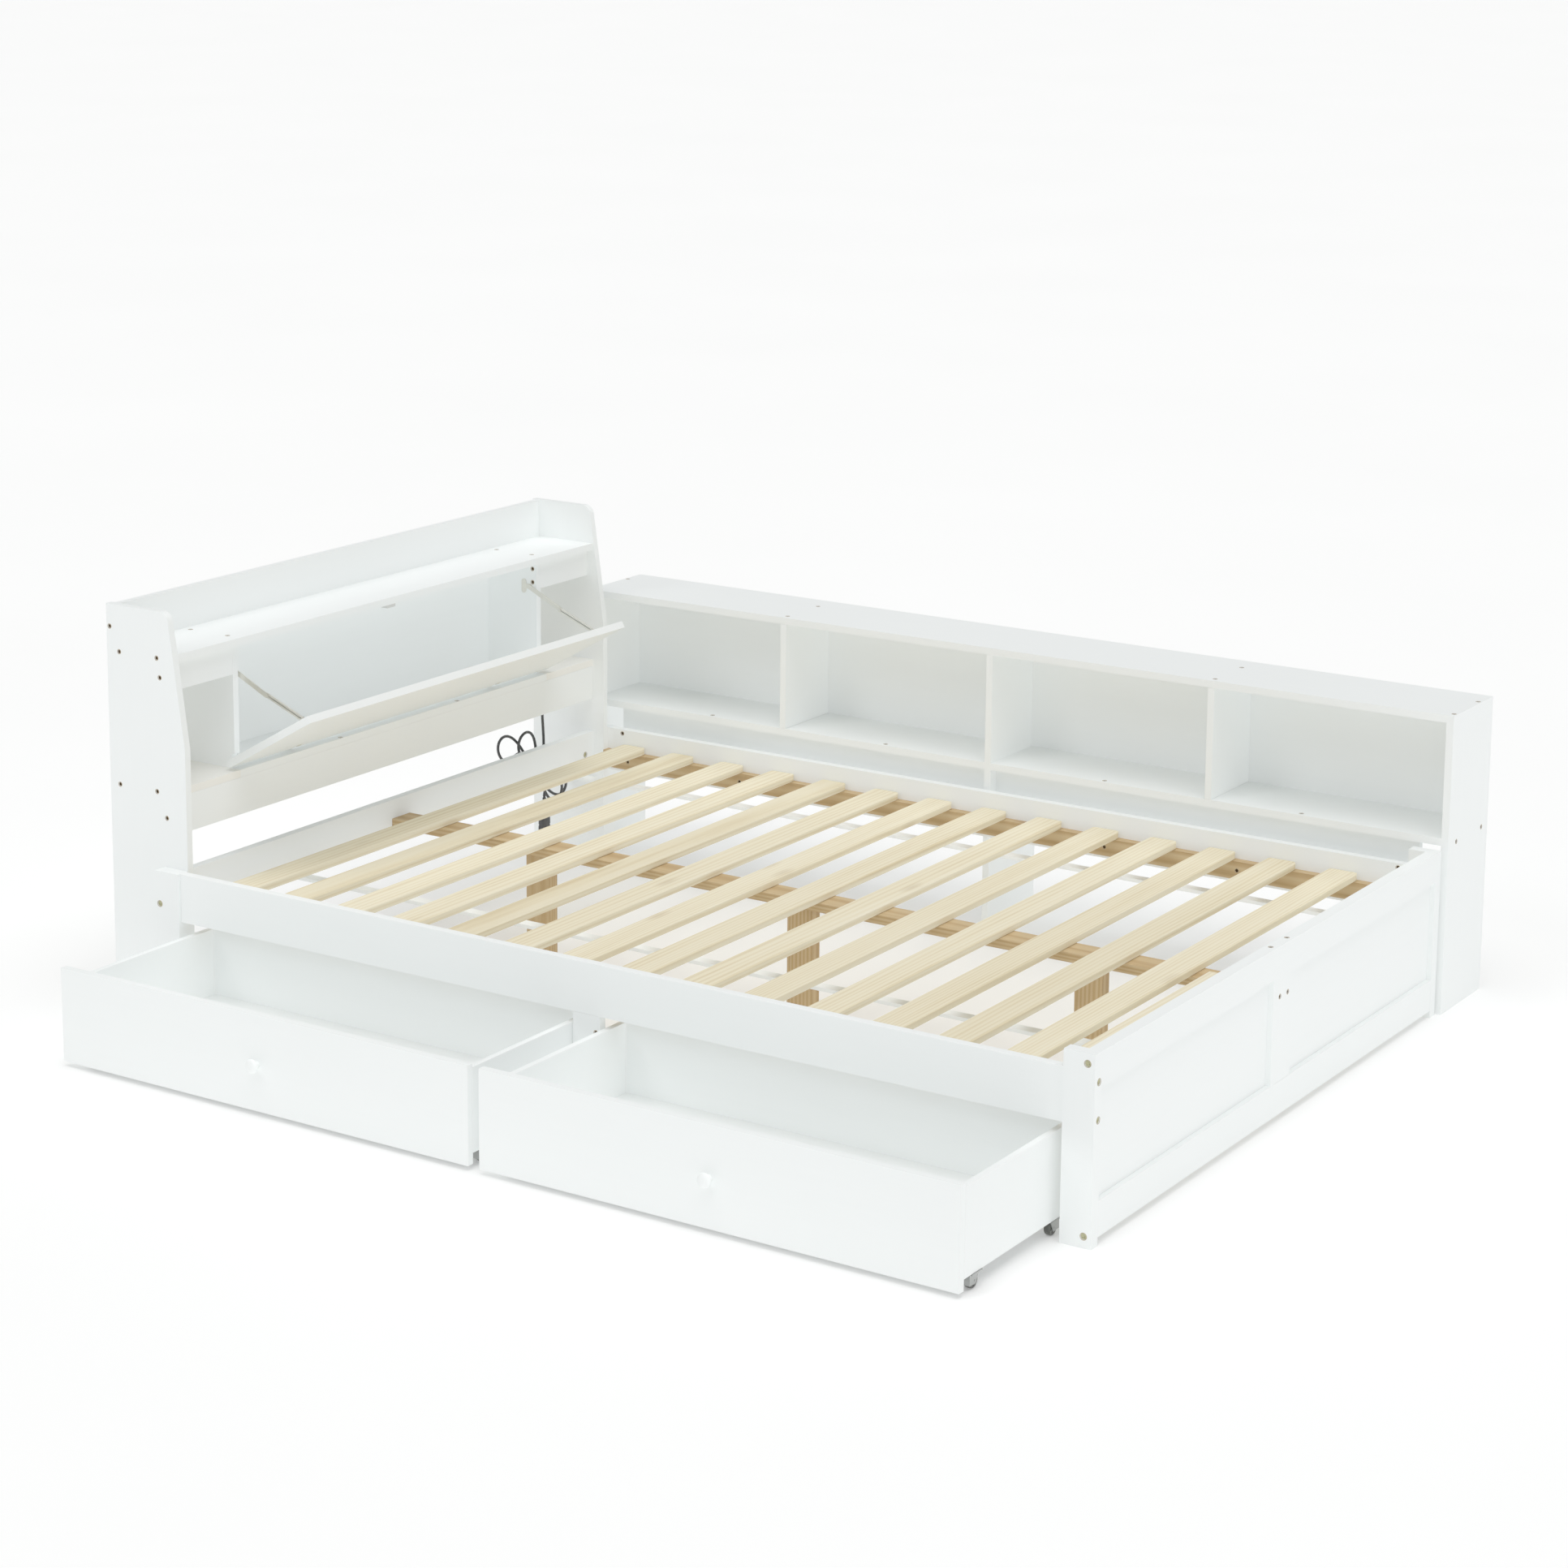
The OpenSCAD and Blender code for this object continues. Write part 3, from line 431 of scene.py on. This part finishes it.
def skin(bm, rings, closed=False, flat=()):
    """Faces from each ring of points to the next, smooth except in the flat columns."""
    pairs = list(zip(rings, rings[1:]))
    if closed:
        pairs.append((rings[-1], rings[0]))
    for first, second in pairs:
        for k in range(len(first)):
            m = (k + 1) % len(first)
            face = bm.faces.new((first[k], first[m], second[m], second[k]))
            face.smooth = k not in flat


def squarish(angle, power):
    """The cosine and sine of an angle, pushed out towards a square by a power below 1."""
    return [math.copysign(abs(v) ** power, v) for v in (math.cos(angle), math.sin(angle))]


def facing(direction, place):
    """A matrix that puts its Z along direction, at place."""
    aim = Vector(direction).to_track_quat("Z", "Y").to_matrix()
    return Matrix.Translation(place) @ aim.to_4x4()


def rounded(radius, low, high, fillet, steps=5):
    """Profile points of a disc's outer corners, rounded at both heights."""
    points = []
    for turn, height in ((-math.pi / 2, low + fillet), (0, high - fillet)):
        for k in range(steps + 1):
            a = turn + math.pi / 2 * k / steps
            points.append((radius - fillet + fillet * math.cos(a), height + fillet * math.sin(a)))
    return points


def islands(name):
    """The separate solids of a CAD node, each as a list of its points."""
    mesh = nodes[name].data
    bm = bmesh.new()
    bm.from_mesh(mesh)
    bmesh.ops.remove_doubles(bm, verts=bm.verts, dist=WELD_WITHIN)
    left = set(bm.verts)
    groups = []
    while left:
        stack = [left.pop()]
        group = []
        while stack:
            vertex = stack.pop()
            group.append(vertex.co.copy())
            for e in vertex.link_edges:
                other = e.other_vert(vertex)
                if other in left:
                    left.remove(other)
                    stack.append(other)
        groups.append(group)
    bm.free()
    groups.sort(key=lambda g: tuple(round(min(p[i] for p in g), 4) for i in range(3)))
    return groups


def extent(points):
    """The lowest and highest corners of the box around the points."""
    low = Vector([min(p[i] for p in points) for i in range(3)])
    high = Vector([max(p[i] for p in points) for i in range(3)])
    return low, high


# ---------------------------------------------------------------- cord
CORD_D = 0.0065
# millimetres from the datum, as in the part's source: from the strain relief to the hank
CORD_ROUTE = [(110, 1285, 418), (110, 1285, 400), (111, 1286, 370), (112, 1288, 330),
              (111, 1292, 292), (108, 1295, 262), (103, 1294, 244), (100, 1286, 231)]
INTO_TIE = (98.2, 1271, 225)
TIE_Y, TIE_Z = 1262, 225             # where the tie holds the loops together
# each loop's angle from +Y towards +Z, and its reach from the tie
LOOPS = [(143, 149), (-28, 136), (116, 103), (-40, 115), (158, 108)]
LOOP_HALF_WIDTH = 27.5
HANK_BACK, HANK_FRONT = 98.0, 122.0  # the loops lie one in front of another between these
CORD_TAIL = [(124, 1276, 207), (124, 1281, 188), (120, 1282, 166)]
PLUG_FROM, PLUG_TO = 0.018, 0.061    # the plug's moulded body, above the tips of its blades
# height above PLUG_FROM and share of the plug's full width
PLUG_SHAPE = [(0.0, 0.90), (0.0015, 0.97), (0.004, 1.0), (0.014, 1.0), (0.016, 0.93),
              (0.018, 0.93), (0.020, 0.99), (0.034, 0.96), (0.040, 0.85), (0.043, 0.62)]
BLADE_HALF_WIDTH, BLADE_HALF_THICKNESS, BLADE_OFFSET = 0.0031, 0.00075, 0.00635


def loop_points(angle, reach, x_start, x_end, steps=14):
    """One loop: out from the tie on one side, round its tip and back on the other."""
    along = math.cos(math.radians(angle)), math.sin(math.radians(angle))
    across = -along[1], along[0]
    points = []
    for k in range(steps):
        share = (k + 0.5) / steps
        s = reach * math.sin(math.pi * share)
        w = LOOP_HALF_WIDTH * math.sin(2 * math.pi * share)
        points.append((x_start + (x_end - x_start) * share,
                       TIE_Y + along[0] * s + across[0] * w,
                       TIE_Z + along[1] * s + across[1] * w))
    return points


def cord_points():
    """The cord's whole way: down to the tie, through every loop and on to the plug."""
    points = [*CORD_ROUTE, INTO_TIE]
    step = (HANK_FRONT - HANK_BACK) / len(LOOPS)
    for k, (angle, reach) in enumerate(LOOPS):
        start = HANK_BACK + step * k
        points += loop_points(angle, reach, start, start + step)
    return points + CORD_TAIL


def smooth_line(points, steps=8):
    """A curve through the points, with a few more between each pair."""
    line = []
    for i in range(len(points) - 1):
        a, b, c, d = (Vector(points[max(0, min(len(points) - 1, i + j))]) for j in (-1, 0, 1, 2))
        for k in range(steps):
            t = k / steps
            line.append(0.5 * (2 * b + (c - a) * t + (2 * a - 5 * b + 4 * c - d) * t * t
                               + (3 * b - a - 3 * c + d) * t ** 3))
    return line + [Vector(points[-1])]


def plug_mesh(bm, steps=32):
    """A moulded two-blade plug, with its blades down and a ribbed relief at its top."""
    low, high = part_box("cord_plug")
    middle, half = (low + high) / 2, (high - low) / 2
    rings = []
    for height, share in PLUG_SHAPE:
        ring = []
        for k in range(steps):
            c, s = squarish(2 * math.pi * k / steps, 0.45)
            ring.append(bm.verts.new((middle.x + half.x * share * c,
                                      middle.y + half.y * share * s,
                                      low.z + PLUG_FROM + height)))
        rings.append(ring)
    skin(bm, rings)
    bm.faces.new(list(reversed(rings[0])))
    bm.faces.new(rings[-1])
    relief_low, rib_pitch, groove = low.z + PLUG_TO - 0.002, 0.0068, 0.0014
    relief = [(0.0, relief_low)]
    for k in range(6):
        z, r = relief_low + rib_pitch * k, 0.0068 - 0.0005 * k
        relief += [(r, z), (r, z + 0.0040), (r - groove, z + 0.0044), (r - groove, z + 0.0064)]
    relief += [(0.0036, high.z - 0.001), (0.0, high.z - 0.001)]
    lathe(bm, relief, Matrix.Translation((middle.x, middle.y, 0)), 24)
    for side in (-1, 1):
        blade_mesh(bm, middle.x, middle.y + side * BLADE_OFFSET, low.z)


def blade_mesh(bm, x, y, tip_z, tip_steps=8):
    """One flat blade of the plug, with a round tip."""
    outline = []
    for k in range(tip_steps + 1):
        a = math.pi + math.pi * k / tip_steps
        outline.append((x + BLADE_HALF_WIDTH * math.cos(a),
                        tip_z + BLADE_HALF_WIDTH + BLADE_HALF_WIDTH * math.sin(a)))
    root_z = tip_z + PLUG_FROM + 0.001
    outline += [(x + BLADE_HALF_WIDTH, root_z), (x - BLADE_HALF_WIDTH, root_z)]
    faces = [[bm.verts.new((px, y + off, pz)) for px, pz in outline]
             for off in (-BLADE_HALF_THICKNESS, BLADE_HALF_THICKNESS)]
    made = [bm.faces.new(face) for face in faces]
    for k in range(len(outline)):
        m = (k + 1) % len(outline)
        made.append(bm.faces.new((faces[0][k], faces[0][m], faces[1][m], faces[1][k])))
    for face in made:
        face.material_index = 1


def gland_mesh(bm):
    """The strain relief under the shelf: a flange and four ribs that narrow downwards."""
    low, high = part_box("cord_gland")
    flange_r, neck_r, rib_pitch, groove = 0.0078, 0.0062, 0.0056, 0.0012
    profile = [(0.0, high.z), (flange_r, high.z), (flange_r + 0.0001, high.z - 0.003),
               (neck_r, high.z - 0.0045)]
    for k in range(4):
        z, r = high.z - 0.0055 - rib_pitch * k, 0.0060 - 0.0005 * k
        profile += [(r, z), (r, z - 0.0032), (r - groove, z - 0.0036), (r - groove, z - 0.0052)]
    profile += [(0.0040, low.z), (0.0, low.z)]
    middle = (low + high) / 2
    lathe(bm, profile, Matrix.Translation((middle.x, middle.y, 0)), 28)


def tie_mesh(bm, steps=40):
    """A flat strap round the middle of the hank."""
    half_x, half_z, width, thickness = 0.0156, 0.0125, 0.0052, 0.0011
    centre = bed((HANK_BACK + HANK_FRONT) / 2, TIE_Y, TIE_Z)
    tilt = Matrix.Translation(centre) @ Matrix.Rotation(math.radians(37), 4, "X")
    rings = []
    for k in range(steps):
        c, s = squarish(2 * math.pi * k / steps, 0.7)
        inner = Vector((c * half_x, 0, s * half_z))
        push = inner.normalized() * thickness
        rings.append([bm.verts.new(tilt @ (inner + push * outer
                                           + Vector((0, across * width / 2, 0))))
                      for across, outer in ((-1, 0), (-1, 1), (1, 1), (1, 0))])
    skin(bm, rings, closed=True, flat=(0, 2))


def make_cord():
    """The black lead: one curve, with its plug, its strain relief and the hank's tie."""
    line = [bed(*p) for p in smooth_line(cord_points())]
    curve = bpy.data.curves.new("power_cord", "CURVE")
    curve.dimensions = "3D"
    curve.bevel_depth = CORD_D / 2
    curve.bevel_resolution = 5
    curve.use_fill_caps = True
    spline = curve.splines.new("POLY")
    spline.points.add(len(line) - 1)
    for point, place in zip(spline.points, line):
        point.co = (*place, 1)
    spline.use_smooth = True
    curve.materials.append(CORD)
    cord = bpy.data.objects.new("power_cord", curve)
    bpy.context.scene.collection.objects.link(cord)
    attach(cord, "frame")
    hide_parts("cord_tube", "cord_hank")
    plug = new_piece("plug", plug_mesh, [CORD, BLADE], "frame")
    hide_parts("cord_plug")
    gland = new_piece("cord_strain_relief", gland_mesh, [CORD], "frame")
    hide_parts("cord_gland")
    tie = new_piece("cord_tie", tie_mesh, [BLACK], "frame")


make_cord()


# ---------------------------------------------------------------- painted and pine boards
WHITE_NODES = ["headboard_side_left", "headboard_side_right", "headboard_back_panel",
               "headboard_top_shelf", "headboard_lower_shelf", "compartment_dividers",
               "compartment_fascias", "headboard_apron", "head_rail", "head_posts", "front_rail",
               "back_rail", "foot_posts", "rail_mid_post", "footboard_top_rail",
               "footboard_bottom_rail", "footboard_centre_stile", "footboard_panels",
               "bookcase_end_left", "bookcase_end_right", "bookcase_middle_panel",
               "bookcase_top", "bookcase_shelves", "bookcase_dividers", "bookcase_back_panels",
               "bookcase_aprons", "underbed_strips", "flap"]
for side in ("left", "right"):
    WHITE_NODES += [f"drawer_{side}_{part}" for part in ("front", "walls", "bottom")]
UPRIGHT = {"headboard_side_left", "headboard_side_right", "head_posts", "foot_posts",
           "rail_mid_post", "bookcase_end_left", "bookcase_end_right", "bookcase_middle_panel",
           "bookcase_dividers", "compartment_dividers", "footboard_centre_stile"}
for name in WHITE_NODES:
    axis = 2 if name in UPRIGHT else long_axis(name)
    dress(name, PAINT[axis], 0.0008 if "panel" in name else 0.0011, EDGE)
# the niche boards take the paint with the painted warm shade
for name in ("headboard_back_panel", "headboard_lower_shelf"):
    nodes[name].data.materials[0] = NICHE_SHADE_PAINT
dress("slats", PINE_SLAT, 0.0010)
dress("footboard_cleat", PINE_CLEAT, 0.0014)
dress("slat_ledgers", PINE_X, 0.0012)
dress("centre_beam", PINE_X, 0.0014)
dress("centre_legs", PINE_Z, 0.0014)
for name in ("flap_hinge_bases", "flap_hinge_cups", "stay_brackets", "stay_flap_brackets",
             "stay_upper_arms", "stay_lower_arms"):
    dress(name, STEEL, 0.0003)
dress("flap_strike", STEEL, 0.0002)
dress("flap_catch", PALE, 0.0012, segments=3)
for side in ("left", "right"):
    dress(f"drawer_{side}_casters", ZINC, 0.0003)


# ---------------------------------------------------------------- screws and bolts
BOLT_RADIUS = 0.005                  # heads wider than this are bolts
RECESS_SCREW, RECESS_BOLT = 0.0025, 0.003
RIM_CLEAR, RIM_PROUD = 0.0003, 0.00012


def from_axis(offset, axis):
    """The length of an offset, leaving out its share along the axis."""
    flat = offset.copy()
    flat[axis] = 0
    return flat.length


def screw_places():
    """The foot, outward direction and radius of each head of the part."""
    placed = []
    for points in islands("frame_screws"):
        low, high = extent(points)
        size, centre = high - low, (low + high) / 2
        axis = min(range(3), key=lambda i: size[i])
        across = max(size[i] for i in range(3) if i != axis)
        # the points about the socket lie towards the outer face
        socket = [p[axis] for p in points if from_axis(p - centre, axis) < across * 0.36]
        out = Vector((0, 0, 0))
        out[axis] = 1 if sum(socket) / len(socket) > centre[axis] else -1
        foot = centre.copy()
        foot[axis] = low[axis] if out[axis] > 0 else high[axis]
        placed.append((foot, out, across / 2))
    return placed


def bolt_profile(radius, socket, head):
    """A flat head with a bevelled rim, and a hexagonal socket."""
    return [(0.0, 0.0), (radius, 0.0), (radius, head * 0.55), (radius * 0.93, head * 0.9),
            (radius * 0.80, head), (socket * 1.12, head), (socket, head * 0.85, True),
            (socket, head * 0.2, True), (0.0, head * 0.12)]


def screw_profile(radius, socket, head):
    """A flat head with a narrow rim, and a hexagonal socket."""
    return [(0.0, 0.0), (radius, 0.0), (radius, head * 0.7), (radius * 0.9, head),
            (socket * 1.25, head * 0.98), (socket * 1.05, head * 0.8, True),
            (socket, head * 0.15, True), (0.0, head * 0.08)]


def screws_mesh(bm):
    """A head with a hex socket in each recess, and the ring of bare board round its rim."""
    for foot, out, radius in screw_places():
        bolt = radius > BOLT_RADIUS
        deep = RECESS_BOLT if bolt else RECESS_SCREW
        head, socket = 0.6 * deep, 0.5 * radius
        turn = facing(out, foot)
        profile = (bolt_profile if bolt else screw_profile)(radius, socket, head)
        lathe(bm, profile, turn, slot_index=1 if bolt else 0)
        rim_in, rim_low, rim_high = radius + RIM_CLEAR, deep - 0.0006, deep + RIM_PROUD
        rim_out = rim_in + (0.0008 if bolt else 0.0011)
        lathe(bm, [(rim_in, rim_low), (rim_in, rim_high), (rim_out, rim_high),
                   (rim_out, rim_low)], turn, slot_index=2, closed=True)


screws = new_piece("screws_and_bolts", screws_mesh, [BRONZE, YELLOW_ZINC, RING], "frame")
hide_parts("frame_screws")


# ---------------------------------------------------------------- knobs and wheels
STEM_R, NECK_R = 0.0072, 0.0056
HEAD_FROM, DOME_FROM = 0.0100, 0.0134   # where the knob's head and its dome begin
WHEEL_FILLET, WHEEL_BORE_R, WEB_DEEP = 0.0028, 0.00205, 0.0014
SPOKES = 5


def make_knob(side):
    """A turned knob: a foot and a neck under a domed head."""
    node = f"drawer_{side}_knob"
    low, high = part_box(node)
    middle = (low + high) / 2
    radius, long = (high.x - low.x) / 2, high.y - low.y
    turn = facing((0, -1, 0), Vector((middle.x, high.y, middle.z)))
    profile = [(0.0, 0.0), (STEM_R, 0.0), (STEM_R, 0.0008), (NECK_R, 0.0032),
               (NECK_R, 0.0062), (STEM_R, 0.0088), (radius * 0.80, HEAD_FROM + 0.0002),
               (radius * 0.95, HEAD_FROM + 0.0016)]
    steps = 14
    for k in range(steps):
        a = math.pi / 2 * k / steps
        profile.append((radius * math.cos(a) ** 0.8,
                        DOME_FROM + (long - DOME_FROM) * math.sin(a)))
    profile.append((0.0, long))
    piece = new_piece(f"knob_{side}", lambda bm: lathe(bm, profile, turn, 64),
                      [PAINT[1]], f"drawer_{side}")
    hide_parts(node)


def wheel_mesh(bm, centre, radius, half):
    """A wheel on an axle along X: a round tread, a sunk web and raised spokes."""
    turn = facing((1, 0, 0), centre)
    side_in = [(radius * 0.74, half), (radius * 0.70, half - WEB_DEEP),
               (radius * 0.36, half - WEB_DEEP), (radius * 0.32, half), (WHEEL_BORE_R, half)]
    mirrored = [(r, -h) for r, h in reversed(side_in)]
    tread = rounded(radius, -half, half, WHEEL_FILLET)
    lathe(bm, mirrored + tread + side_in, turn, 56, closed=True)
    for face in (-1, 1):
        for k in range(SPOKES):
            spoke = (turn @ Matrix.Rotation(2 * math.pi * k / SPOKES, 4, "Z")
                     @ Matrix.Translation((radius * 0.53, 0, face * (half - 0.0011)))
                     @ Matrix.Diagonal((radius * 0.40, 0.0022, 0.0012, 1)))
            made = bmesh.ops.create_cube(bm, size=1, matrix=spoke)
            for f in {f for v in made["verts"] for f in v.link_faces}:
                f.material_index = 1


def make_wheels(side, row):
    """The two wheels that stand in one row under a drawer."""
    node = f"drawer_{side}_wheels_{row}"

    def mesh(bm):
        for points in islands(node):
            low, high = extent(points)
            wheel_mesh(bm, (low + high) / 2, (high.z - low.z) / 2, (high.x - low.x) / 2)

    piece = new_piece(f"wheels_{side}_{row}", mesh, [GREY, HUB], f"wheels_{side}_{row}")
    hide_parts(node)


for side in ("left", "right"):
    make_knob(side)
    for row in ("front", "rear"):
        make_wheels(side, row)


# ---------------------------------------------------------------- floor and light
FLOOR_REACH, FLOOR_GLOW = 90.0, 0.11
FLOOR_LOW, FLOOR_HIGH = (0.94, 0.945, 0.94), (0.96, 0.965, 0.96)
VIEW_GAMMA = 1.5
SKY_LOW, SKY_HIGH = (0.24, 0.244, 0.242, 1), (0.12, 0.122, 0.121, 1)


def make_stage():
    """A flat, very pale floor under the whole view, which glows a little."""
    low, high = cad_box
    centre = (low + high) / 2
    g = Graph("studio_floor")
    cloud = g.noise(0.7)
    fine = g.noise(180, roughness=0.6)
    g.finish(g.ramp(cloud, ((0.3, FLOOR_LOW), (0.7, FLOOR_HIGH))),
             g.spread(fine, 0.62, 0.74), g.bump(fine, strength=0.05, distance=0.0004),
             Specular_IOR_Level=0.2, Emission_Color=(1, 1, 1, 1), Emission_Strength=FLOOR_GLOW)
    bm = bmesh.new()
    bm.faces.new([bm.verts.new((centre.x + x * FLOOR_REACH, centre.y + y * FLOOR_REACH, 0))
                  for x, y in ((-1, -1), (1, -1), (1, 1), (-1, 1))])
    mesh = bpy.data.meshes.new("studio_floor")
    bm.to_mesh(mesh)
    bm.free()
    mesh.materials.append(g.material)
    floor = bpy.data.objects.new("studio_floor", mesh)
    bpy.context.scene.collection.objects.link(floor)


def softbox(name, azimuth, height, spread, strength, shadow=True):
    """A distant broad light, seen from the bed at this azimuth (from -Y towards +X) and
    height, in degrees. Without shadow it is a fill, which also reaches the backs of shelves
    and drawers."""
    data = bpy.data.lights.new(name, "SUN")
    data.energy = strength
    data.angle = math.radians(spread)
    data.use_shadow = shadow
    light = bpy.data.objects.new(name, data)
    turn, rise = math.radians(azimuth), math.radians(height)
    back = Vector((math.sin(turn) * math.cos(rise), -math.cos(turn) * math.cos(rise),
                   math.sin(rise)))
    light.rotation_euler = back.to_track_quat("Z", "Y").to_euler()
    bpy.context.scene.collection.objects.link(light)


def make_light():
    """An even white studio: a sky brightest at the horizon, a key light, two low fills and
    a wide light overhead."""
    world = bpy.data.worlds.new("studio")
    world.use_nodes = True
    tree = world.node_tree
    split = tree.nodes.new("ShaderNodeSeparateXYZ")
    tree.links.new(tree.nodes.new("ShaderNodeTexCoord").outputs["Generated"], split.inputs[0])
    sky = tree.nodes.new("ShaderNodeValToRGB")
    tree.links.new(split.outputs[2], sky.inputs["Fac"])
    low, high = sky.color_ramp.elements
    low.position, low.color = 0.02, SKY_LOW
    high.position, high.color = 0.5, SKY_HIGH
    tree.links.new(sky.outputs["Color"], tree.nodes["Background"].inputs["Color"])
    bpy.context.scene.world = world
    softbox("key_light", -28, 38, 20, 0.35)
    softbox("side_fill", 12, 8, 30, 0.30, shadow=False)
    softbox("foot_fill", 78, 8, 30, 0.50, shadow=False)
    softbox("overhead_light", 60, 82, 60, 2.2)
    view = bpy.context.scene.view_settings
    view.view_transform = "Standard"
    view.gamma = VIEW_GAMMA


make_stage()
make_light()
